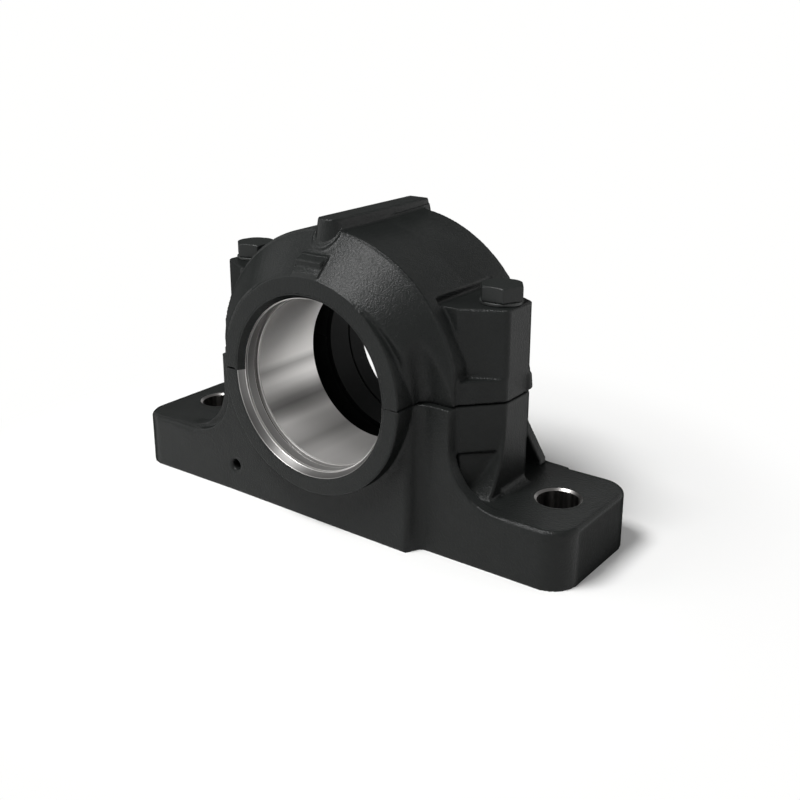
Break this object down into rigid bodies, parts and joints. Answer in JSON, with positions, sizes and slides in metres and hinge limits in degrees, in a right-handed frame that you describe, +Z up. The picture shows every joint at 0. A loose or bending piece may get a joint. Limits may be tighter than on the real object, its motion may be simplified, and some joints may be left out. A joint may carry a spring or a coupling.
{
  "type": "split plummer block housing",
  "caption": "Two-part cast iron bearing housing on a long two-hole foot, with bolted cap, machined bearing seat, flat bore rings, bolt columns and a rib over the crown.",
  "frame": {"origin": "middle of the base underside, below the bore axis", "axes": "+X along the foot to the right in the picture, +Y from the open front to the back along the bore, +Z up"},
  "size_m": [0.252, 0.094, 0.145],
  "materials": {
    "iron": "black painted casting with bare machined seat",
    "bolt_steel": "black oxide",
    "washer_steel": "dark satin",
    "pin_steel": "ground"
  },
  "bodies": {
    "lower_half": {"base": "iron", "guide_pin_right": "pin_steel", "guide_pin_left": "pin_steel"},
    "upper_half": {"cap": "iron"},
    "bolt_right": {"cap_bolt_right": "bolt_steel", "washer_right": "washer_steel"},
    "bolt_left": {"cap_bolt_left": "bolt_steel", "washer_left": "washer_steel"}
  },
  "joints": [
    {"name": "cap_lift", "type": "slide", "parent": "lower_half", "child": "upper_half", "axis": [0, 0, 1], "range_m": [0, 0.08]},
    {"name": "bolt_right_out", "type": "slide", "parent": "upper_half", "child": "bolt_right", "axis": [0, 0, 1], "range_m": [0, 0.075]},
    {"name": "bolt_left_out", "type": "slide", "parent": "upper_half", "child": "bolt_left", "axis": [0, 0, 1], "range_m": [0, 0.075]}
  ]
}
